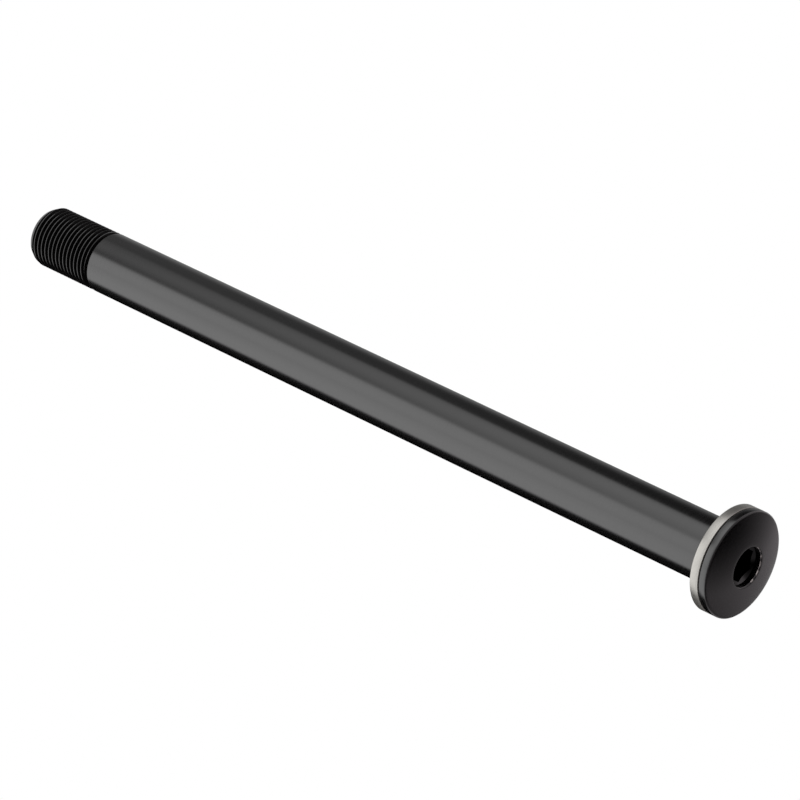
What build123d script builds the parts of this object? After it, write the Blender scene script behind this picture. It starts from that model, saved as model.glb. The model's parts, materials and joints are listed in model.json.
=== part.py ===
"""Bicycle thru axle: a turned bar with a domed head, and the loose washer under the head.

Millimetres. The axle stands on its head: the origin is the centre of the narrow flat land round
the key socket, and +Z runs along the axle to the threaded tip.
"""

import math
import os

from build123d import *

# Axle bar
axle_length = 175.4
shaft_diameter = 12.0

# Neck under the head, turned below the shaft so that the washer seats flat
neck_undercut = 0.3
neck_overrun = 0.2
neck_fillet = 0.3

# Head: a disc with a shallow dome on its outer face and a flat land round the socket
head_diameter = 20.2
head_thickness = 1.8
dome_rise = 1.1
land_width = 0.15
face_edge_chamfer = 0.22
back_edge_chamfer = 0.28

# Threaded end, M12 x 1.0: a plain cylinder over the crests stands for the fine thread,
# and a V groove turned to the thread's root parts it from the shaft
thread_undersize = 0.03
threaded_end_length = 16.6
relief_width = 0.85
relief_root_width = 0.2
relief_depth = 0.6
tip_length = 1.4
tip_angle = 30.0

# Hex key socket in the head, with two corners on Y, below a round recess that ends in a drill's cone
socket_across_flats = 6.0
socket_depth = 10.0
socket_turn = 30.0
recess_margin = 0.29
recess_depth = 1.3
recess_cone_angle = 120.0
recess_edge_chamfer = 0.2

# Bore drilled through the bar
bore_diameter = 5.0
bore_edge_chamfer = 0.4

# Washer: as wide as the head, loose on the shaft, clear of the fillet at the neck
washer_thickness = 1.8
washer_clearance = 0.1
washer_edge_chamfer = 0.1
neck_clearance = 0.05

# Sizes that follow from those above
head_radius = head_diameter / 2
head_end = dome_rise + head_thickness
neck_radius = shaft_diameter / 2 - neck_undercut
neck_end = head_end + washer_thickness + neck_overrun
shaft_end = axle_length - threaded_end_length
tip_start = axle_length - tip_length
relief_radius = shaft_diameter / 2 - relief_depth
relief_end = shaft_end + relief_width
relief_root_start = shaft_end + (relief_width - relief_root_width) / 2
thread_diameter = shaft_diameter - thread_undersize
recess_radius = socket_across_flats / 3**0.5 + recess_margin
recess_tip = recess_depth + recess_radius / math.tan(math.radians(recess_cone_angle / 2))
land_radius = recess_radius + recess_edge_chamfer + land_width
dome_edge_radius = head_radius - face_edge_chamfer
dome_center = (dome_edge_radius**2 + dome_rise**2 - land_radius**2) / (2 * dome_rise)
dome_radius = (land_radius**2 + dome_center**2) ** 0.5
washer_bore_radius = shaft_diameter / 2 + washer_clearance
washer_bore_chamfer = neck_fillet + neck_clearance

os.makedirs("parts", exist_ok=True)


with BuildPart() as axle:
    # Head, turned: flat land, shallow dome, and a rim with both edges broken
    with BuildSketch(Plane.XZ) as head_section:
        with BuildLine():
            RadiusArc((land_radius, 0), (dome_edge_radius, dome_rise), -dome_radius)
            Polyline(
                (dome_edge_radius, dome_rise),
                (head_radius, dome_rise + face_edge_chamfer),
                (head_radius, head_end - back_edge_chamfer),
                (head_radius - back_edge_chamfer, head_end),
                (0, head_end),
                (0, 0),
                (land_radius, 0),
            )
        make_face()
    revolve(axis=Axis.Z)

    # Neck, with a small fillet where it grows out of the head, then the plain shaft
    with BuildSketch(Plane.XY.offset(head_end)) as neck_section:
        Circle(neck_radius)
    extrude(amount=neck_end - head_end)
    neck_edges = axle.edges().filter_by_position(Axis.Z, head_end, head_end)
    fillet(neck_edges.sort_by(SortBy.RADIUS)[0], radius=neck_fillet)
    with BuildSketch(Plane.XY.offset(neck_end)) as shaft_section:
        Circle(shaft_diameter / 2)
    extrude(amount=shaft_end - neck_end)

    # Threaded end, its tip tapered below the thread's root, then the V groove before it
    with BuildSketch(Plane.XY.offset(shaft_end)) as thread_section:
        Circle(thread_diameter / 2)
    extrude(amount=tip_start - shaft_end)
    with BuildSketch(Plane.XY.offset(tip_start)) as tip_section:
        Circle(thread_diameter / 2)
    extrude(amount=tip_length, taper=tip_angle)
    with BuildSketch(Plane.XZ) as relief_section:
        with BuildLine():
            Polyline(
                (shaft_diameter / 2, shaft_end),
                (relief_radius, relief_root_start),
                (relief_radius, relief_root_start + relief_root_width),
                (shaft_diameter / 2, relief_end),
                close=True,
            )
        make_face()
    revolve(axis=Axis.Z, mode=Mode.SUBTRACT)

    # Bore right through, then the hex socket and its round recess from the head's face
    with BuildSketch() as bore_section:
        Circle(bore_diameter / 2)
    extrude(amount=axle_length, mode=Mode.SUBTRACT)
    with BuildSketch() as socket_section:
        RegularPolygon(socket_across_flats / 2, side_count=6, major_radius=False, rotation=socket_turn)
    extrude(amount=socket_depth, mode=Mode.SUBTRACT)
    with BuildSketch(Plane.XZ) as recess_section:
        with BuildLine():
            Polyline((0, 0), (recess_radius, 0), (recess_radius, recess_depth), (0, recess_tip), close=True)
        make_face()
    revolve(axis=Axis.Z, mode=Mode.SUBTRACT)

    # Broken edges of the recess and of the bore's far mouth
    face_edges = axle.edges().filter_by_position(Axis.Z, 0, 0)
    chamfer(face_edges.sort_by(SortBy.RADIUS)[0], length=recess_edge_chamfer)
    tip_edges = axle.edges().filter_by_position(Axis.Z, axle_length, axle_length)
    chamfer(tip_edges.sort_by(SortBy.RADIUS)[0], length=bore_edge_chamfer)

axle.part.label = "axle"
export_step(axle.part, "parts/axle.step")


with BuildPart() as washer:
    # Ring seated on the back of the head
    with BuildSketch(Plane.XY.offset(head_end)) as ring_section:
        Circle(head_radius)
        Circle(washer_bore_radius, mode=Mode.SUBTRACT)
    extrude(amount=washer_thickness)
    ring_edges = washer.edges().filter_by(GeomType.CIRCLE).group_by(SortBy.RADIUS)
    chamfer(ring_edges[-1], length=washer_edge_chamfer)
    chamfer(ring_edges[0], length=washer_bore_chamfer)

washer.part.label = "washer"
export_step(washer.part, "parts/washer.step")
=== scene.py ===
"""The look of a bicycle thru axle: a black turned bar with its thread, and the bare steel washer under its head.

Each piece is modelled in millimetres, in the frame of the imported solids, and is brought to metres when it is done.
"""

import json
import logging
import math
from dataclasses import dataclass
from typing import Any

import bmesh
import bpy
from mathutils import Matrix, Vector


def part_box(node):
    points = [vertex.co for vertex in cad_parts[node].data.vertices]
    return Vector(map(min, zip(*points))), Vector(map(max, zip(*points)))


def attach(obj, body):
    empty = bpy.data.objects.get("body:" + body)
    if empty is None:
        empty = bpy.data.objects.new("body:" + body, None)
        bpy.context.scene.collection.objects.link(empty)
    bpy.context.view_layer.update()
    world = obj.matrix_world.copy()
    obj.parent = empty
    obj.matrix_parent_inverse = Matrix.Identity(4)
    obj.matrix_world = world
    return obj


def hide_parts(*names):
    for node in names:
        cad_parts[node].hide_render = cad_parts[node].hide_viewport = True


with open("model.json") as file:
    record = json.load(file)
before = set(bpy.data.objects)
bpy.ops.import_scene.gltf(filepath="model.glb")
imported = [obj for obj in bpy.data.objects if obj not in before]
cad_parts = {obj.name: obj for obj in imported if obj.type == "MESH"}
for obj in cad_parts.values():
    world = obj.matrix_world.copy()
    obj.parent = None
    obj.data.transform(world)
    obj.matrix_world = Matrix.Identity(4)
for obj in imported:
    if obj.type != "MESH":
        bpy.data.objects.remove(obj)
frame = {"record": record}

LOG = logging.getLogger("thru_axle")
MM = 0.001
WHITE = "#FFFFFF"
# Points in each turned ring: a multiple of six, so that the hex socket has as many as the rings that it meets
RING = 144
# Two points nearer than this, in millimetres, are at the same place
NEAR = 0.0005
# Faces that meet at more than this, in degrees, have a real edge between them
EDGE_ANGLE = 32.0
# The attributes of a mesh that say how much painted shade darkens its faces in the thread's grooves, and which faces
# a key has worn
PAINTED_GROOVE_SHADE = "groove"
WORN = "worn"
# The attribute of the studio's wall with its radiance at three heights
LEVELS = "levels"
# The setting that makes a Map Range node ease in and out
EASED = {"interpolation_type": "SMOOTHSTEP"}


def linear(code: str) -> tuple[float, float, float, float]:
    """Turns an sRGB colour into the linear colour that Blender works in.

    Args:
        code: The colour as a hex value, such as #1A1B1C.

    Returns:
        Red, green, blue and an alpha of 1.
    """
    parts = [int(code[i : i + 2], 16) / 255 for i in (1, 3, 5)]
    red, green, blue = (p / 12.92 if p <= 0.04045 else ((p + 0.055) / 1.055) ** 2.4 for p in parts)
    return red, green, blue, 1.0


def add_node(
    tree: bpy.types.NodeTree,
    kind: str,
    settings: dict[str, Any] | None = None,
    inputs: dict[str | int, Any] | None = None,
) -> bpy.types.Node:
    """Adds one node with its settings and links.

    Args:
        tree: The node tree.
        kind: The node's type.
        settings: The node's own properties.
        inputs: What each input takes: a value, or an output socket to link from.

    Returns:
        The new node.
    """
    node = tree.nodes.new(kind)
    for name, value in (settings or {}).items():
        setattr(node, name, value)
    for name, value in (inputs or {}).items():
        if isinstance(value, bpy.types.NodeSocket):
            tree.links.new(value, node.inputs[name])
        else:
            node.inputs[name].default_value = value
    return node


def step(value: bpy.types.NodeSocket, first: float, last: float) -> dict[str, Any]:
    """Gives the inputs of a Map Range node for a step from 0 to 1.

    Args:
        value: The value that the step follows.
        first: The value at which the step starts.
        last: The value at which it ends, which may be the lower of the two.

    Returns:
        The inputs by their names.
    """
    ends = {"From Min": min(first, last), "From Max": max(first, last)}
    if last < first:
        ends.update({"To Min": 1.0, "To Max": 0.0})
    return {"Value": value, **ends}


def seen(tree: bpy.types.NodeTree) -> bpy.types.NodeSocket:
    """Tells what is looked at from what only gives light.

    Args:
        tree: The node tree.

    Returns:
        1 for what the camera sees, also in a mirror or through glass, and 0 otherwise.
    """
    ray = add_node(tree, "ShaderNodeLightPath").outputs
    either = {"operation": "MAXIMUM"}
    first = add_node(tree, "ShaderNodeMath", either, {0: ray["Is Camera Ray"], 1: ray["Is Glossy Ray"]})
    return add_node(tree, "ShaderNodeMath", either, {0: first.outputs[0], 1: ray["Is Transmission Ray"]}).outputs[0]


def mount(name: str) -> dict[str, Any]:
    """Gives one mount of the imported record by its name."""
    return next(m for m in frame["record"]["mounts"] if m["name"] == name)


@dataclass(frozen=True)
class TurnedFinish:
    """The finish of a piece that was turned on a lathe, with fine marks that run round its axis.

    The marks spread a reflection across them, along the shaft and outwards on a face, and leave it sharper round the
    axis, which gives the long clean bands of light on a turned bar. Sizes are in millimetres.
    """

    name: str
    shade_low: str
    shade_high: str
    # The colour of the painted shade in a thread's grooves
    painted_groove_shade_colour: str
    worn_shade: str
    metallic: float
    ior: float
    roughness: tuple[float, float]
    anisotropy: float
    mark_spacing: float
    mark_depth: float
    cloud_size: float
    groove_roughness: float = 0.8
    worn_roughness: float = 0.3
    spot_size: float = 0.8
    # The noise at which a bare spot starts and is full, and the noise that most marks lie between
    spot_edge: tuple[float, float] = (0.4, 0.55)
    mark_range: tuple[float, float] = (0.3, 0.7)

    def turned(self, tree: bpy.types.NodeTree, place: bpy.types.NodeSocket) -> bpy.types.NodeSocket:
        """Makes the turned surface, with its marks and its slow changes of shade.

        Args:
            tree: The material's node tree.
            place: The place on the piece.

        Returns:
            The shader.
        """
        flat = add_node(tree, "ShaderNodeVectorMath", {"operation": "MULTIPLY"}, {0: place, 1: (1, 1, 0)})
        radius = add_node(tree, "ShaderNodeVectorMath", {"operation": "LENGTH"}, {0: flat.outputs[0]})
        height = add_node(tree, "ShaderNodeSeparateXYZ", inputs={0: place})
        # The tool's path, outwards over a face and on along a cylinder, in steps of one mark
        path = add_node(tree, "ShaderNodeMath", inputs={0: radius.outputs["Value"], 1: height.outputs["Z"]})
        steps = add_node(
            tree, "ShaderNodeMath", {"operation": "MULTIPLY"}, {0: path.outputs[0], 1: 1 / (self.mark_spacing * MM)}
        )
        marks = add_node(
            tree,
            "ShaderNodeTexNoise",
            {"noise_dimensions": "1D"},
            {"W": steps.outputs[0], "Scale": 1.0, "Detail": 2.0, "Roughness": 0.6},
        ).outputs["Fac"]
        clouds = add_node(
            tree,
            "ShaderNodeTexNoise",
            inputs={"Vector": place, "Scale": 1 / (self.cloud_size * MM), "Detail": 3.0},
        )
        shade = add_node(
            tree,
            "ShaderNodeMix",
            {"data_type": "RGBA"},
            {0: clouds.outputs["Fac"], 6: linear(self.shade_low), 7: linear(self.shade_high)},
        )
        low, high = self.roughness
        sheen = add_node(
            tree,
            "ShaderNodeMapRange",
            inputs={**step(marks, *self.mark_range), "To Min": low, "To Max": high},
        )
        bump = add_node(
            tree, "ShaderNodeBump", inputs={"Strength": 1.0, "Distance": self.mark_depth * MM, "Height": marks}
        )
        round_axis = add_node(tree, "ShaderNodeTangent", {"direction_type": "RADIAL", "axis": "Z"})
        # A quarter turn from the tangent, so that the reflection is spread across the marks
        return add_node(
            tree,
            "ShaderNodeBsdfPrincipled",
            inputs={
                "Base Color": shade.outputs[2],
                "Metallic": self.metallic,
                "Roughness": sheen.outputs[0],
                "IOR": self.ior,
                "Normal": bump.outputs[0],
                "Anisotropic": self.anisotropy,
                "Anisotropic Rotation": 0.25,
                "Tangent": round_axis.outputs[0],
            },
        ).outputs[0]

    def worn_share(self, tree: bpy.types.NodeTree, place: bpy.types.NodeSocket) -> bpy.types.NodeSocket:
        """Makes the spots where a key has rubbed the skin away.

        Args:
            tree: The material's node tree.
            place: The place on the piece.

        Returns:
            1 where bare metal shows and 0 elsewhere.
        """
        worn = add_node(tree, "ShaderNodeAttribute", {"attribute_name": WORN}).outputs["Fac"]
        spots = add_node(
            tree,
            "ShaderNodeTexNoise",
            inputs={"Vector": place, "Scale": 1 / (self.spot_size * MM), "Detail": 2.0},
        )
        share = add_node(tree, "ShaderNodeMapRange", EASED, step(spots.outputs["Fac"], *self.spot_edge))
        return add_node(tree, "ShaderNodeMath", {"operation": "MULTIPLY"}, {0: share.outputs[0], 1: worn}).outputs[0]

    def material(self) -> bpy.types.Material:
        """Builds the node material.

        Returns:
            The material, on Object coordinates.
        """
        made = bpy.data.materials.new(self.name)
        made.use_nodes = True
        tree = made.node_tree
        tree.nodes.clear()
        place = add_node(tree, "ShaderNodeTexCoord").outputs["Object"]
        # Painted shade in the thread's grooves: a near-black shader with no gloss, mixed in by the groove attribute,
        # stands in for the shade between the flanks
        groove = add_node(tree, "ShaderNodeAttribute", {"attribute_name": PAINTED_GROOVE_SHADE}).outputs["Fac"]
        matt = add_node(
            tree,
            "ShaderNodeBsdfPrincipled",
            inputs={
                "Base Color": linear(self.painted_groove_shade_colour),
                "Roughness": self.groove_roughness,
                "Specular IOR Level": 0.0,
            },
        )
        # The turned skin, with painted shade in the grooves
        skin = add_node(
            tree, "ShaderNodeMixShader", inputs={0: groove, 1: self.turned(tree, place), 2: matt.outputs[0]}
        )
        bare = add_node(
            tree,
            "ShaderNodeBsdfPrincipled",
            inputs={"Base Color": linear(self.worn_shade), "Metallic": 1.0, "Roughness": self.worn_roughness},
        )
        whole = add_node(
            tree,
            "ShaderNodeMixShader",
            inputs={0: self.worn_share(tree, place), 1: skin.outputs[0], 2: bare.outputs[0]},
        )
        add_node(tree, "ShaderNodeOutputMaterial", inputs={"Surface": whole.outputs[0]})
        return made


# Black anodised aluminium: a dyed oxide skin over the turned metal. It is nearly black by itself, and what the eye
# gets is a satin gloss from the skin. Turning marks are about 0.1 mm apart, too fine to show, so they are drawn
# 0.45 mm apart.
BLACK_ANODISED = TurnedFinish(
    name="black_anodised_aluminium",
    shade_low="#0A090A",
    shade_high="#0F0D0E",
    # Painted shade for the thread's grooves: near black
    painted_groove_shade_colour="#040404",
    worn_shade="#BDBAB5",
    metallic=0.0,
    ior=1.77,
    roughness=(0.19, 0.23),
    anisotropy=0.5,
    mark_spacing=0.45,
    mark_depth=0.0006,
    cloud_size=9.0,
)
# Stainless steel, faced and left bare: a soft grey mirror with finer, stronger marks, drawn 0.3 mm apart to show
TURNED_STEEL = TurnedFinish(
    name="turned_steel",
    shade_low="#AFADA8",
    shade_high="#BBB9B4",
    # The washer has no grooves, so this painted shade does not show on it
    painted_groove_shade_colour="#3A3937",
    worn_shade="#BDBAB5",
    metallic=0.9,
    ior=1.5,
    roughness=(0.32, 0.40),
    anisotropy=0.5,
    mark_spacing=0.3,
    mark_depth=0.0015,
    cloud_size=4.0,
)


class Lathe:
    """Turns one solid in edit mode, ring after ring, as on a lathe. Sizes are in millimetres."""

    def __init__(self, name: str, radius: float, height: float) -> None:
        """Starts a piece with one ring.

        Args:
            name: The piece's name.
            radius: The ring's radius.
            height: The ring's place along the axis.
        """
        bpy.ops.object.select_all(action="DESELECT")
        bpy.ops.mesh.primitive_circle_add(vertices=RING, radius=radius)
        self.piece: bpy.types.Object = bpy.context.active_object
        self.piece.name = name
        self.piece.data.name = name
        self.radius = radius
        self.height = height
        bpy.ops.object.mode_set(mode="EDIT")
        bpy.ops.mesh.select_mode(type="EDGE")
        bpy.ops.transform.translate(value=(0, 0, height))

    def turn(self, radius: float, height: float) -> None:
        """Draws the last ring out.

        Args:
            radius: The new ring's radius.
            height: Its place along the axis.
        """
        share = radius / self.radius
        bpy.ops.mesh.extrude_edges_move(TRANSFORM_OT_translate={"value": (0, 0, height - self.height)})
        bpy.ops.transform.resize(value=(share, share, 1), center_override=(0, 0, height))
        self.radius = radius
        self.height = height

    def turn_along(self, path: list[tuple[float, float]]) -> None:
        """Draws the last ring through each radius and height in turn."""
        for radius, height in path:
            self.turn(radius, height)

    def turn_arc(self, center: tuple[float, float], end: tuple[float, float], steps: int) -> None:
        """Draws the last ring along an arc of the profile.

        Args:
            center: The radius and height of the arc's centre.
            end: The radius and height of the arc's end.
            steps: How many rings the arc has.
        """
        size = math.hypot(self.radius - center[0], self.height - center[1])
        first = math.atan2(self.height - center[1], self.radius - center[0])
        sweep = (math.atan2(end[1] - center[1], end[0] - center[0]) - first + math.pi) % math.tau - math.pi
        for count in range(1, steps):
            turned = first + sweep * count / steps
            self.turn(center[0] + size * math.cos(turned), center[1] + size * math.sin(turned))
        self.turn(*end)

    def start_hex(self, corner: float, height: float) -> None:
        """Adds a hexagon with two corners on Y, with as many points as a ring.

        Args:
            corner: The radius at a corner.
            height: Its place along the axis.
        """
        bpy.ops.mesh.select_all(action="DESELECT")
        bpy.ops.mesh.primitive_circle_add(vertices=6, radius=corner, location=(0, 0, height))
        bpy.ops.mesh.subdivide(number_cuts=RING // 6 - 1)
        self.radius = corner
        self.height = height

    def select_rings(self, places: list[tuple[float | None, float]]) -> None:
        """Selects the edges of whole rings.

        Args:
            places: Each ring's radius and height. With no radius, every ring at that height is taken.
        """
        bpy.ops.mesh.select_all(action="DESELECT")
        mesh = bmesh.from_edit_mesh(self.piece.data)
        for edge in mesh.edges:
            edge.select_set(
                any(
                    all(
                        abs(v.co.z - height) < NEAR and (radius is None or abs(v.co.xy.length - radius) < NEAR)
                        for v in edge.verts
                    )
                    for radius, height in places
                )
            )
        bmesh.update_edit_mesh(self.piece.data)

    def slope_last(self, drop: float) -> None:
        """Moves each point of the last ring along the axis by its own radius times a slope.

        Args:
            drop: The slope.
        """
        mesh = bmesh.from_edit_mesh(self.piece.data)
        for point in mesh.verts:
            if point.select:
                point.co.z += drop * point.co.xy.length
        bmesh.update_edit_mesh(self.piece.data)

    def bridge(self, height: float) -> None:
        """Joins the two rings at one height by a flat ledge."""
        self.select_rings([(None, height)])
        bpy.ops.mesh.bridge_edge_loops()

    def bridge_open(self) -> None:
        """Joins the last two rings that are still open."""
        bpy.ops.mesh.select_all(action="DESELECT")
        mesh = bmesh.from_edit_mesh(self.piece.data)
        for edge in mesh.edges:
            edge.select_set(edge.is_boundary)
        bmesh.update_edit_mesh(self.piece.data)
        bpy.ops.mesh.bridge_edge_loops()

    def ease(self, places: list[tuple[float, float]], size: float) -> None:
        """Rounds the edges at some rings a little.

        Args:
            places: Each ring's radius and height.
            size: How far from the edge the rounding starts.
        """
        self.select_rings(places)
        bpy.ops.mesh.bevel(offset=size, segments=2, affect="EDGES")

    def close(self) -> bpy.types.Object:
        """Merges what lies at one place, turns the faces outwards and leaves edit mode.

        Returns:
            The piece, still in millimetres.
        """
        bpy.ops.mesh.select_all(action="SELECT")
        bpy.ops.mesh.remove_doubles(threshold=NEAR / 10)
        bpy.ops.mesh.normals_make_consistent(inside=False)
        bpy.ops.object.mode_set(mode="OBJECT")
        return self.piece


def to_metres(piece: bpy.types.Object) -> None:
    """Shrinks a piece's mesh from millimetres to metres and shades it smooth up to its real edges.

    Args:
        piece: The piece, at the origin.
    """
    bpy.ops.object.select_all(action="DESELECT")
    piece.select_set(True)
    bpy.context.view_layer.objects.active = piece
    piece.scale = (MM, MM, MM)
    bpy.ops.object.transform_apply(location=False, rotation=False, scale=True)
    bpy.ops.object.shade_smooth_by_angle(angle=math.radians(EDGE_ANGLE))


@dataclass
class AxleBar:
    """The bar itself: head, neck, shaft, thread, hex socket and bore, all turned and cut from one piece.

    Millimetres and degrees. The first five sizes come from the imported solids.
    """

    length: float
    head_radius: float
    head_end: float
    shaft_radius: float
    thread_radius: float
    # Head
    dome_rise: float = 1.1
    dome_steps: int = 12
    land_width: float = 0.15
    face_chamfer: float = 0.22
    back_chamfer: float = 0.32
    # Neck and shaft
    neck_undercut: float = 0.3
    neck_length: float = 2.0
    neck_fillet: float = 0.3
    fillet_steps: int = 4
    shaft_rings: int = 20
    # Threaded end, with the V groove before it. The crests are eased, as on a thread that was used.
    threaded_length: float = 16.6
    relief_width: float = 0.85
    relief_depth: float = 0.6
    relief_root: float = 0.2
    tip_length: float = 1.4
    tip_angle: float = 30.0
    thread_pitch: float = 1.0
    thread_depth: float = 0.598
    thread_root: float = 0.175
    flank_angle: float = 30.0
    crest_ease: float = 0.06
    crest_angle: float = 26.0
    cutter_margin: float = 0.008
    # Socket and bore
    socket_flats: float = 6.0
    socket_depth: float = 10.0
    recess_radius: float = 3.754
    recess_depth: float = 1.3
    recess_cone_angle: float = 120.0
    recess_chamfer: float = 0.2
    bore_radius: float = 2.5
    bore_chamfer: float = 0.4
    # Broken edges, more so at the socket's mouth, where a key has worn one side
    edge_ease: float = 0.04
    mouth_ease: float = 0.1
    worn_side: tuple[float, float] = (0.63, 0.78)
    worn_reach: float = 0.3
    # How much painted shade darkens a groove, and how its faces are told from others: by how their normals lean along
    # the axis, and by their distance from the tip's end and the bore
    painted_groove_shade_share: float = 0.88
    flank_lean: tuple[float, float] = (0.8, 0.95)
    floor_lean: float = 0.1
    tip_margin: float = 0.1
    bore_margin: float = 0.5
    face_margin: float = 0.01

    @property
    def shaft_end(self) -> float:
        """Gives the place where the plain shaft ends at the relief groove."""
        return self.length - self.threaded_length

    def turned(self) -> bpy.types.Object:
        """Turns the bar, with its socket, before its thread is cut.

        Returns:
            A closed piece in millimetres.
        """
        head, top = self.head_radius, self.head_end
        mouth = self.recess_radius + self.recess_chamfer
        land = mouth + self.land_width
        dome_edge = (head - self.face_chamfer, self.dome_rise)
        rim = (head, self.dome_rise + self.face_chamfer)
        dome_center = (dome_edge[0] ** 2 + self.dome_rise**2 - land**2) / (2 * self.dome_rise)
        lathe = Lathe("axle_bar", self.recess_radius, self.recess_depth)
        lathe.turn_along([(self.recess_radius, self.recess_chamfer), (mouth, 0), (land, 0)])
        lathe.turn_arc((0, dome_center), dome_edge, self.dome_steps)
        lathe.turn_along([rim, (head, top - self.back_chamfer), (head - self.back_chamfer, top)])
        neck = self.shaft_radius - self.neck_undercut
        neck_end = top + self.neck_length
        fillet_end = (neck, top + self.neck_fillet)
        lathe.turn(neck + self.neck_fillet, top)
        lathe.turn_arc((neck + self.neck_fillet, top + self.neck_fillet), fillet_end, self.fillet_steps)
        lathe.turn_along([(neck, neck_end), (self.shaft_radius, neck_end)])
        run = (self.shaft_end - neck_end) / self.shaft_rings
        lathe.turn_along([(self.shaft_radius, neck_end + run * count) for count in range(1, self.shaft_rings)])
        relief = self.shaft_radius - self.relief_depth
        relief_slope = (self.relief_width - self.relief_root) / 2
        thread_start = self.shaft_end + self.relief_width
        tip = self.thread_radius - self.tip_length * math.tan(math.radians(self.tip_angle))
        lathe.turn_along(
            [
                (self.shaft_radius, self.shaft_end),
                (relief, self.shaft_end + relief_slope),
                (relief, thread_start - relief_slope),
                (self.thread_radius, thread_start),
                (self.thread_radius, self.length - self.tip_length),
                (tip, self.length),
                (self.bore_radius + self.bore_chamfer, self.length),
                (self.bore_radius, self.length - self.bore_chamfer),
                (self.bore_radius, self.socket_depth),
            ]
        )
        # The socket's walls end on the cone that the drill left below the recess, further in the nearer they are
        drop = 1 / math.tan(math.radians(self.recess_cone_angle / 2))
        lathe.start_hex(self.socket_flats / math.sqrt(3), self.socket_depth)
        lathe.turn(lathe.radius, self.recess_depth + self.recess_radius * drop)
        lathe.slope_last(-drop)
        lathe.bridge(self.socket_depth)
        lathe.bridge_open()
        lathe.ease(
            [
                (mouth, 0),
                dome_edge,
                rim,
                (head, top - self.back_chamfer),
                (head - self.back_chamfer, top),
                (tip, self.length),
                (self.bore_radius + self.bore_chamfer, self.length),
            ],
            self.edge_ease,
        )
        lathe.ease([(self.recess_radius, self.recess_chamfer)], self.mouth_ease)
        return lathe.close()

    def groove_section(self, start: float) -> bpy.types.Object:
        """Shapes the outline of the thread's groove, from its root to just past the crests.

        Args:
            start: Its place along the axis.

        Returns:
            A loop of six edges in millimetres, still in edit mode and selected.
        """
        slope = math.tan(math.radians(self.crest_angle))
        root = self.thread_radius - self.thread_depth
        eased = self.thread_radius - self.crest_ease * slope
        outer = self.thread_radius + self.cutter_margin
        root_half = self.thread_root / 2
        eased_half = root_half + (eased - root) * math.tan(math.radians(self.flank_angle))
        outer_half = eased_half + (outer - eased) / slope
        bpy.ops.object.select_all(action="DESELECT")
        bpy.ops.mesh.primitive_plane_add(size=2, rotation=(math.pi / 2, 0, 0))
        coil = bpy.context.active_object
        coil.name = "thread_cutter"
        bpy.ops.object.transform_apply(location=False, rotation=True, scale=False)
        bpy.ops.object.mode_set(mode="EDIT")
        bpy.ops.mesh.select_all(action="SELECT")
        bpy.ops.mesh.delete(type="ONLY_FACE")
        bpy.ops.mesh.select_mode(type="EDGE")
        mesh = bmesh.from_edit_mesh(coil.data)
        for edge in mesh.edges:
            edge.select_set(abs(edge.verts[0].co.z - edge.verts[1].co.z) < NEAR)
        bmesh.update_edit_mesh(coil.data)
        bpy.ops.mesh.subdivide(number_cuts=1)
        bpy.ops.mesh.select_mode(type="VERT")
        # The plane's points stand at -1, 0 and 1 along X, and each pair is brought to its radius and width
        for place, radius, half in ((-1, root, root_half), (0, eased, eased_half), (1, outer, outer_half)):
            bpy.ops.mesh.select_all(action="DESELECT")
            mesh = bmesh.from_edit_mesh(coil.data)
            for point in mesh.verts:
                point.select_set(abs(point.co.x - place) < NEAR)
            bmesh.update_edit_mesh(coil.data)
            bpy.ops.transform.resize(value=(1, 1, half), center_override=(0, 0, 0))
            bpy.ops.transform.translate(value=(radius - place, 0, start))
        bpy.ops.mesh.select_all(action="SELECT")
        return coil

    def thread_cutter(self) -> bpy.types.Object:
        """Winds the groove of the right-hand thread, from the relief to past the tip, as a body to cut with.

        Returns:
            A closed coil in millimetres, clear of itself from turn to turn.
        """
        # A quarter turn on from the relief, so that on the side of -Y the grooves follow it at even steps
        start = self.shaft_end + self.relief_width / 2 + self.thread_pitch / 4
        coil = self.groove_section(start)
        # Half a step round the axis from the bar's own edges, so that no edge of one runs along an edge of the other
        bpy.ops.transform.rotate(value=math.pi / RING, orient_axis="Z", center_override=(0, 0, 0))
        bpy.ops.object.mode_set(mode="OBJECT")
        corners = len(coil.data.vertices)
        screw = coil.modifiers.new("turns", "SCREW")
        screw.axis = "Z"
        screw.angle = math.tau
        screw.screw_offset = self.thread_pitch
        screw.iterations = math.ceil((self.length - start) / self.thread_pitch) + 1
        screw.steps = RING
        screw.render_steps = RING
        bpy.ops.object.modifier_apply(modifier="turns")
        bpy.ops.object.mode_set(mode="EDIT")
        bpy.ops.mesh.select_all(action="SELECT")
        bpy.ops.mesh.remove_doubles(threshold=NEAR)
        bpy.ops.mesh.fill_holes(sides=corners)
        bpy.ops.mesh.select_all(action="SELECT")
        bpy.ops.mesh.normals_make_consistent(inside=False)
        bpy.ops.object.mode_set(mode="OBJECT")
        return coil

    def mark_finish(self, bar: bpy.types.Object) -> None:
        """Marks the faces in the thread's grooves and in the relief for painted shade, and those that a key has worn.

        Args:
            bar: The bar, in millimetres.
        """
        grooves = [False] * len(bar.data.polygons)
        mouth = [False] * len(bar.data.polygons)
        root = self.thread_radius - self.thread_depth + self.face_margin
        ring = (self.recess_radius - self.face_margin, self.recess_radius + self.recess_chamfer + self.face_margin)
        for face in bar.data.polygons:
            radius, height, lean = face.center.xy.length, face.center.z, abs(face.normal.z)
            inside = self.shaft_end < height < self.length - self.tip_margin
            flank = self.flank_lean[0] < lean < self.flank_lean[1]
            floor = lean < self.floor_lean and self.bore_radius + self.bore_margin < radius < root
            grooves[face.index] = inside and (flank or floor)
            edge = height < self.recess_chamfer + self.mouth_ease and ring[0] < radius < ring[1]
            mouth[face.index] = edge and face.center.xy.dot(Vector(self.worn_side)) > self.worn_reach * radius
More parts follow.
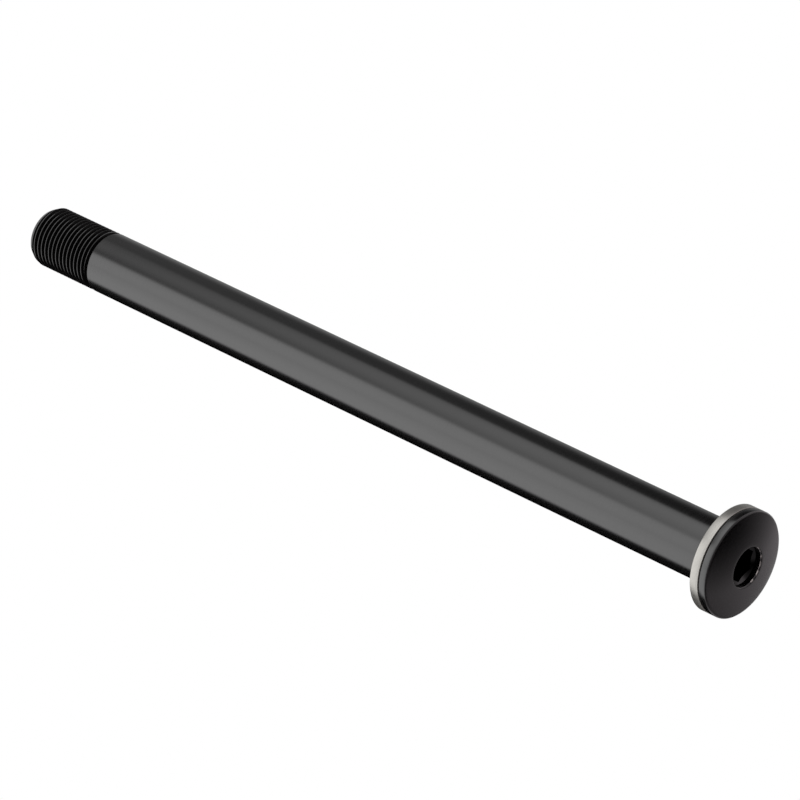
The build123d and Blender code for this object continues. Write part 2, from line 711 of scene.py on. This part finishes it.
        # The grooves take their level of painted shade, and the worn faces a full mark
        for name, faces, level in ((PAINTED_GROOVE_SHADE, grooves, self.painted_groove_shade_share), (WORN, mouth, 1.0)):
            marks = bar.data.attributes.new(name, "FLOAT", "FACE")
            for marked, mark in zip(faces, marks.data):
                mark.value = level if marked else 0.0

    def build(self) -> bpy.types.Object:
        """Makes the bar, cuts its thread and dresses it.

        Returns:
            The finished piece, which stands for the solid.
        """
        bar = self.turned()
        coil = self.thread_cutter()
        bpy.ops.object.select_all(action="DESELECT")
        bar.select_set(True)
        bpy.context.view_layer.objects.active = bar
        cut = bar.modifiers.new("thread", "BOOLEAN")
        cut.operation = "DIFFERENCE"
        cut.solver = "EXACT"
        cut.object = coil
        bpy.ops.object.modifier_apply(modifier="thread")
        bpy.data.objects.remove(coil)
        bpy.ops.object.mode_set(mode="EDIT")
        bpy.ops.mesh.select_all(action="SELECT")
        bpy.ops.mesh.dissolve_degenerate(threshold=NEAR)
        bpy.ops.mesh.select_all(action="SELECT")
        bpy.ops.mesh.remove_doubles(threshold=NEAR)
        bpy.ops.mesh.normals_make_consistent(inside=False)
        bpy.ops.object.mode_set(mode="OBJECT")
        self.mark_finish(bar)
        to_metres(bar)
        bar.data.materials.clear()
        bar.data.materials.append(BLACK_ANODISED.material())
        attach(bar, "axle")
        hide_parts("axle")
        return bar


@dataclass
class ThrustWasher:
    """The loose ring between the head and the frame. Millimetres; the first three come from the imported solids."""

    outer_radius: float
    bottom: float
    top: float
    bore_radius: float = 6.1
    bore_chamfer: float = 0.35
    edge_chamfer: float = 0.1
    seat_chamfer: float = 0.05
    edge_ease: float = 0.02

    def build(self) -> bpy.types.Object:
        """Turns the washer and dresses it.

        Returns:
            The finished piece, which stands for the solid.
        """
        outer, inner, bore = self.outer_radius, self.bore_radius, self.bore_chamfer
        edge, seat = self.edge_chamfer, self.seat_chamfer
        outside = [
            (outer - seat, self.bottom),
            (outer, self.bottom + seat),
            (outer, self.top - edge),
            (outer - edge, self.top),
        ]
        inside = [
            (inner + bore, self.top),
            (inner, self.top - bore),
            (inner, self.bottom + bore),
            (inner + bore, self.bottom),
        ]
        lathe = Lathe("steel_washer", inner + bore, self.bottom)
        lathe.turn_along(outside + inside)
        bpy.ops.mesh.select_all(action="SELECT")
        bpy.ops.mesh.remove_doubles(threshold=NEAR)
        lathe.ease(outside, self.edge_ease)
        washer = lathe.close()
        to_metres(washer)
        washer.data.materials.clear()
        washer.data.materials.append(TURNED_STEEL.material())
        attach(washer, "washer")
        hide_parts("washer")
        return washer


@dataclass(frozen=True)
class Stop:
    """What the studio's wall shows in a reflection at one azimuth, in degrees from -Y towards +X.

    The radiance is given at the wall's foot, low and high, and white is 1. Between two stops it changes evenly.
    """

    azimuth: float
    foot: float
    low: float
    high: float


# The panels round the axle
PANELS = (
    # Dark beside the softbox on the left
    Stop(-180, 0.6, 0.0, 0.0),
    Stop(-150, 0.35, 0.0, 0.0),
    Stop(-104, 0.5, 0.0, 0.02),
    # Softbox on the left, and one in front, with a narrow gap between them
    Stop(-94, 0.9, 1.42, 1.42),
    Stop(-81, 0.9, 1.5, 1.5),
    Stop(-67, 0.6, 1.65, 1.67),
    Stop(-53, 0.3, 1.69, 1.68),
    Stop(-37, 0.3, 1.68, 1.67),
    Stop(-35, 0.3, 1.45, 1.45),
    Stop(-33, 0.3, 1.66, 1.7),
    Stop(-17, 0.3, 1.77, 1.79),
    Stop(-5, 0.3, 1.75, 1.74),
    Stop(4, 0.3, 1.72, 1.62),
    Stop(8, 0.3, 1.55, 1.2),
    # White card, darker higher up
    Stop(13, 1.2, 1.25, 0.45),
    Stop(18, 1.3, 1.16, 0.25),
    Stop(29, 1.4, 1.26, 0.44),
    Stop(41, 1.4, 1.34, 0.55),
    Stop(54, 1.3, 1.34, 0.5),
    Stop(64, 1.1, 1.2, 0.4),
    Stop(70, 0.9, 0.98, 0.33),
    # Black flag, then a grey card behind the axle
    Stop(77, 0.5, 0.04, 0.27),
    Stop(97, 0.35, 0.0, 0.29),
    Stop(116, 0.4, 0.05, 0.22),
    Stop(135, 0.7, 0.22, 0.34),
    Stop(144, 0.8, 0.29, 0.39),
    Stop(180, 0.8, 0.25, 0.41),
)


@dataclass(frozen=True)
class Wall:
    """The round wall of panels about the axle, with its ceiling and its pit, which only reflections see. Metres."""

    stops: tuple[Stop, ...] = PANELS
    columns: int = 360
    radius: float = 0.7
    top: float = 1.3
    bottom: float = -1.6
    # Heights on the wall that the head's end and the threaded end of the shaft reflect to the camera
    low: float = 0.42
    high: float = 0.76
    # Between which heights the foot ends, and between which the panels fade into the ceiling
    foot: tuple[float, float] = (0.18, 0.3)
    fade: tuple[float, float] = (1.0, 1.2)
    ceiling: float = 0.5
    # The pit stands for the floor in reflections. It is dim straight down, gets paler where a unit step's Z passes
    # from the first to the second of pit_rise, paler again near the horizon, which leans with Y, and a little lighter
    # towards +X.
    pit_levels: tuple[float, float, float] = (0.03, 0.17, 0.56)
    pit_rise: tuple[float, float] = (-0.98, -0.85)
    horizon_rise: tuple[float, float] = (-0.55, -0.3)
    horizon_lean: float = -0.25
    pit_tilt: float = 0.15
    # One bright patch in it, which the thread's flanks see: its middle, its edge as a cosine from there, its level
    patch_way: tuple[float, float, float] = (0.62, 0.35, -0.7)
    patch_edge: tuple[float, float] = (0.93, 0.98)
    patch_level: float = 0.3
    # Behind the axle it is a base and how much each step along X, Y and Z adds, and the lesser of two slopes shows.
    # That part starts along Y and ends to both sides between these places of a unit step.
    pit_back_slopes: tuple[tuple[float, float, float, float], ...] = (
        (0.85, -0.567, 0.0, 0.94),
        (0.336, 0.9, 0.0, -0.336),
    )
    back_start: tuple[float, float] = (0.1, 0.45)
    back_sides: tuple[float, float] = (0.5, 0.32)
    pit_tint: str = "#FFF6FA"

    def emit(self, name: str, tint: str) -> tuple[bpy.types.Material, bpy.types.Node, bpy.types.NodeSocket]:
        """Starts a material that only glows.

        Args:
            name: The material's name.
            tint: The light's colour as a hex value.

        Returns:
            The material, its light, whose strength is still to be linked, and the place on the wall.
        """
        made = bpy.data.materials.new(name)
        made.use_nodes = True
        tree = made.node_tree
        tree.nodes.clear()
        place = add_node(tree, "ShaderNodeTexCoord").outputs["Object"]
        light = add_node(tree, "ShaderNodeEmission", inputs={"Color": linear(tint)})
        add_node(tree, "ShaderNodeOutputMaterial", inputs={"Surface": light.outputs[0]})
        return made, light, place

    def paint(self) -> bpy.types.Material:
        """Makes the panels' glow, which changes evenly with height between the wall's foot and the ceiling.

        Returns:
            The material.
        """
        made, light, place = self.emit("wall_panels", WHITE)
        tree = made.node_tree
        height = add_node(tree, "ShaderNodeSeparateXYZ", inputs={0: place}).outputs["Z"]
        attribute = add_node(tree, "ShaderNodeAttribute", {"attribute_name": LEVELS}).outputs["Vector"]
        foot, low, high = add_node(tree, "ShaderNodeSeparateXYZ", inputs={0: attribute}).outputs
        ends = {**step(height, self.low, self.high), "To Min": low, "To Max": high}
        even = add_node(tree, "ShaderNodeMapRange", {"clamp": False}, ends)
        panel = add_node(tree, "ShaderNodeMath", {"operation": "MAXIMUM"}, {0: even.outputs[0], 1: 0.0})
        above = add_node(tree, "ShaderNodeMapRange", EASED, step(height, *self.foot))
        raised = add_node(tree, "ShaderNodeMix", inputs={0: above.outputs[0], 2: foot, 3: panel.outputs[0]})
        faded = add_node(tree, "ShaderNodeMapRange", EASED, step(height, *self.fade))
        glow = add_node(tree, "ShaderNodeMix", inputs={0: faded.outputs[0], 2: raised.outputs[0], 3: self.ceiling})
        tree.links.new(glow.outputs[0], light.inputs["Strength"])
        return made

    def pit_front(self, tree: bpy.types.NodeTree, way: bpy.types.NodeSocket) -> bpy.types.NodeSocket:
        """Makes the pit's level before and beside the axle.

        Args:
            tree: The pit's node tree.
            way: The unit step towards a place in the pit.

        Returns:
            The radiance.
        """
        parts = add_node(tree, "ShaderNodeSeparateXYZ", inputs={0: way}).outputs
        along = {"operation": "DOT_PRODUCT"}
        rise = add_node(tree, "ShaderNodeVectorMath", along, {0: way, 1: (0.0, self.horizon_lean, 1.0)})
        to_patch = add_node(tree, "ShaderNodeVectorMath", along, {0: way, 1: Vector(self.patch_way).normalized()})
        down, pale, horizon = self.pit_levels
        steps = (
            (parts["Z"], self.pit_rise, pale),
            (rise.outputs["Value"], self.horizon_rise, horizon),
            (to_patch.outputs["Value"], self.patch_edge, self.patch_level),
        )
        add_up = {"operation": "MULTIPLY_ADD"}
        glow = add_node(tree, "ShaderNodeMath", add_up, {0: parts["X"], 1: self.pit_tilt, 2: down})
        for value, ends, level in steps:
            share = add_node(tree, "ShaderNodeMapRange", EASED, step(value, *ends))
            inputs = {0: share.outputs[0], 1: level, 2: glow.outputs[0]}
            glow = add_node(tree, "ShaderNodeMath", add_up, inputs)
        return glow.outputs[0]

    def pit_back(self, tree: bpy.types.NodeTree, way: bpy.types.NodeSocket) -> bpy.types.NodeSocket:
        """Makes the pit's level behind the axle, the lesser of two slopes.

        Args:
            tree: The pit's node tree.
            way: The unit step towards a place in the pit.

        Returns:
            The radiance.
        """
        levels = []
        for base, *slope in self.pit_back_slopes:
            along = add_node(tree, "ShaderNodeVectorMath", {"operation": "DOT_PRODUCT"}, {0: way, 1: slope})
            levels.append(add_node(tree, "ShaderNodeMath", inputs={0: along.outputs["Value"], 1: base}).outputs[0])
        first, second = levels
        return add_node(tree, "ShaderNodeMath", {"operation": "MINIMUM"}, {0: first, 1: second}).outputs[0]

    def paint_pit(self) -> bpy.types.Material:
        """Makes the pit's glow, which dims from the horizon downwards and is graded further behind the axle.

        Returns:
            The material.
        """
        made, light, place = self.emit("wall_pit", self.pit_tint)
        tree = made.node_tree
        way = add_node(tree, "ShaderNodeVectorMath", {"operation": "NORMALIZE"}, {0: place}).outputs[0]
        parts = add_node(tree, "ShaderNodeSeparateXYZ", inputs={0: way}).outputs
        aside = add_node(tree, "ShaderNodeMath", {"operation": "ABSOLUTE"}, {0: parts["X"]})
        far = add_node(tree, "ShaderNodeMapRange", EASED, step(parts["Y"], *self.back_start))
        middle = add_node(tree, "ShaderNodeMapRange", EASED, step(aside.outputs[0], *self.back_sides))
        behind = add_node(
            tree, "ShaderNodeMath", {"operation": "MULTIPLY"}, {0: far.outputs[0], 1: middle.outputs[0]}
        )
        levels = {0: behind.outputs[0], 2: self.pit_front(tree, way), 3: self.pit_back(tree, way)}
        mixed = add_node(tree, "ShaderNodeMix", inputs=levels)
        glow = add_node(tree, "ShaderNodeMath", {"operation": "MAXIMUM"}, {0: mixed.outputs[0], 1: 0.0})
        tree.links.new(glow.outputs[0], light.inputs["Strength"])
        return made

    def levels_at(self, azimuth: float) -> tuple[float, float, float]:
        """Gives the wall's radiance at an azimuth.

        Args:
            azimuth: Degrees from -Y towards +X.

        Returns:
            The radiance at the wall's foot, low and high.
        """
        before = max((s for s in self.stops if s.azimuth <= azimuth), key=lambda s: s.azimuth, default=self.stops[0])
        after = min((s for s in self.stops if s.azimuth > azimuth), key=lambda s: s.azimuth, default=self.stops[-1])
        way = after.azimuth - before.azimuth
        share = (azimuth - before.azimuth) / way if way > 0 else 0.0
        pairs = ((before.foot, after.foot), (before.low, after.low), (before.high, after.high))
        foot, low, high = (first + (last - first) * share for first, last in pairs)
        return foot, low, high

    def build(self) -> bpy.types.Object:
        """Raises the wall, one column of faces for each degree, and paints it.

        Returns:
            The wall.
        """
        bpy.ops.object.select_all(action="DESELECT")
        bpy.ops.mesh.primitive_circle_add(
            vertices=self.columns, radius=self.radius, location=(0, 0, self.bottom), fill_type="NGON"
        )
        wall = bpy.context.active_object
        wall.name = "studio_wall"
        bpy.ops.object.transform_apply(location=True, rotation=False, scale=False)
        bpy.ops.object.mode_set(mode="EDIT")
        bpy.ops.mesh.select_mode(type="FACE")
        bpy.ops.mesh.select_all(action="SELECT")
        for rise in (-self.bottom, self.top):
            bpy.ops.mesh.extrude_region_move(TRANSFORM_OT_translate={"value": (0, 0, rise)})
        bpy.ops.object.mode_set(mode="OBJECT")
        levels = wall.data.attributes.new(LEVELS, "FLOAT_VECTOR", "POINT")
        for point, level in zip(wall.data.vertices, levels.data):
            level.vector = self.levels_at(math.degrees(math.atan2(point.co.x, -point.co.y)))
        wall.data.materials.append(self.paint())
        wall.data.materials.append(self.paint_pit())
        for face in wall.data.polygons:
            face.material_index = int(face.center.z < 0)
        wall.visible_camera = False
        wall.visible_diffuse = False
        wall.visible_transmission = False
        wall.visible_shadow = False
        return wall


@dataclass(frozen=True)
class Softbox:
    """A soft lamp that faces the axle from above the floor, in the direction of a softbox on the wall."""

    name: str
    azimuths: tuple[float, float]
    distance: float = 1.5
    heights: tuple[float, float] = (0.7, 2.2)
    radiance: float = 0.8

    def build(self) -> bpy.types.Object:
        """Hangs the lamp.

        Returns:
            The lamp, whose face in a reflection is the wall's.
        """
        middle = math.radians(sum(self.azimuths) / 2)
        width = 2 * self.distance * math.tan(math.radians(self.azimuths[1] - self.azimuths[0]) / 2)
        height = self.heights[1] - self.heights[0]
        bpy.ops.object.select_all(action="DESELECT")
        bpy.ops.object.light_add(
            type="AREA",
            location=(self.distance * math.sin(middle), -self.distance * math.cos(middle), sum(self.heights) / 2),
            rotation=(math.pi / 2, 0, middle),
        )
        lamp = bpy.context.active_object
        lamp.name = self.name
        lamp.data.shape = "RECTANGLE"
        lamp.data.size = width
        lamp.data.size_y = height
        lamp.data.energy = math.pi * width * height * self.radiance
        lamp.visible_camera = False
        lamp.visible_glossy = False
        return lamp


@dataclass
class Studio:
    """The white room: floor, sky, lamps, wall of panels and camera. Metres, and millimetres for lens and sensor."""

    floor_radius: float = 4.0
    floor_points: int = 96
    floor_drop: float = 0.0001
    floor_shade: str = "#EBEBE9"
    # Between which distances the floor fades to white, and how much light the sky gives
    fade: tuple[float, float] = (0.3, 1.6)
    fill: float = 0.8
    softboxes: tuple[Softbox, ...] = (Softbox("softbox_left", (-100, -37)), Softbox("softbox_front", (-33, 8)))
    wall: Wall = Wall()
    lens: float = 217.2
    sensor: float = 36.0
    clip: tuple[float, float] = (0.01, 50.0)
    eye: tuple[float, float, float] = (0.00029, -0.71633, -0.43591)
    rightwards: tuple[float, float, float] = (0.4305, 0.5292, -0.7312)
    forwards: tuple[float, float, float] = (0.0, 0.8101, 0.5863)

    def sky(self) -> None:
        """Makes the sky white to the eye and in reflections, and a mild fill otherwise."""
        world = bpy.data.worlds.new("white_room")
        bpy.context.scene.world = world
        world.use_nodes = True
        tree = world.node_tree
        tree.nodes.clear()
        level = add_node(
            tree, "ShaderNodeMapRange", inputs={"Value": seen(tree), "To Min": self.fill, "To Max": 1.0}
        )
        light = add_node(
            tree, "ShaderNodeBackground", inputs={"Color": linear(WHITE), "Strength": level.outputs[0]}
        )
        add_node(tree, "ShaderNodeOutputWorld", inputs={"Surface": light.outputs[0]})

    def floor_material(self) -> bpy.types.Material:
        """Makes the floor's pale matt paint, which fades to white far off and is clear from below.

        Returns:
            The material.
        """
        paint = bpy.data.materials.new("pale_floor")
        paint.use_nodes = True
        tree = paint.node_tree
        tree.nodes.clear()
        place = add_node(tree, "ShaderNodeTexCoord").outputs["Object"]
        radius = add_node(tree, "ShaderNodeVectorMath", {"operation": "LENGTH"}, {0: place}).outputs["Value"]
        far = add_node(tree, "ShaderNodeMapRange", EASED, step(radius, *self.fade))
        fade = add_node(tree, "ShaderNodeMath", {"operation": "MULTIPLY"}, {0: far.outputs[0], 1: seen(tree)})
        matt = add_node(tree, "ShaderNodeBsdfDiffuse", inputs={"Color": linear(self.floor_shade)})
        white = add_node(tree, "ShaderNodeEmission", inputs={"Color": linear(WHITE), "Strength": 1.0})
        top = add_node(
            tree, "ShaderNodeMixShader", inputs={0: fade.outputs[0], 1: matt.outputs[0], 2: white.outputs[0]}
        )
        under = add_node(tree, "ShaderNodeNewGeometry").outputs["Backfacing"]
        clear = add_node(tree, "ShaderNodeBsdfTransparent")
        both = add_node(tree, "ShaderNodeMixShader", inputs={0: under, 1: top.outputs[0], 2: clear.outputs[0]})
        add_node(tree, "ShaderNodeOutputMaterial", inputs={"Surface": both.outputs[0]})
        return paint

    def floor(self) -> bpy.types.Object:
        """Lays the floor a hair below the axle. In reflections, the wall's pit takes its place.

        Returns:
            The floor.
        """
        bpy.ops.object.select_all(action="DESELECT")
        bpy.ops.mesh.primitive_circle_add(
            vertices=self.floor_points,
            radius=self.floor_radius,
            location=(0, 0, -self.floor_drop),
            fill_type="NGON",
        )
        floor = bpy.context.active_object
        floor.name = "floor"
        floor.data.materials.append(self.floor_material())
        floor.visible_glossy = False
        return floor

    def camera(self) -> bpy.types.Object:
        """Sets the camera at the photograph's viewing angle: below the standing axle's head, rolled to its slant.

        Returns:
            The camera.
        """
        data = bpy.data.cameras.new("camera")
        data.sensor_width = self.sensor
        data.lens = self.lens
        data.clip_start, data.clip_end = self.clip
        camera = bpy.data.objects.new("camera", data)
        bpy.context.scene.collection.objects.link(camera)
        ahead = Vector(self.forwards).normalized()
        up = Vector(self.rightwards).cross(ahead).normalized()
        right = ahead.cross(up)
        turn = Matrix((right, up, -ahead)).transposed().to_4x4()
        camera.matrix_world = Matrix.Translation(self.eye) @ turn
        bpy.context.scene.camera = camera
        return camera

    def build(self) -> None:
        """Sets up the whole room."""
        bpy.context.scene.view_settings.view_transform = "Standard"
        self.sky()
        self.floor()
        self.wall.build()
        for softbox in self.softboxes:
            softbox.build()
        self.camera()


def main() -> None:
    """Builds the pieces, then the room, and notes each piece's number of faces."""
    logging.basicConfig(level=logging.INFO, format="%(name)s: %(message)s")
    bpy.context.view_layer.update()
    _, axle_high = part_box("axle")
    washer_low, washer_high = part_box("washer")
    axle = AxleBar(
        length=axle_high.z / MM,
        head_radius=axle_high.x / MM,
        head_end=washer_low.z / MM,
        shaft_radius=mount("shaft")["dims"]["r_mm"],
        thread_radius=mount("thread")["dims"]["r_mm"],
    )
    washer = ThrustWasher(outer_radius=washer_high.x / MM, bottom=washer_low.z / MM, top=washer_high.z / MM)
    for part in (axle, washer):
        piece = part.build()
        LOG.info("%s: %d faces", piece.name, len(piece.data.polygons))
    Studio().build()


if __name__ == "__main__":
    main()
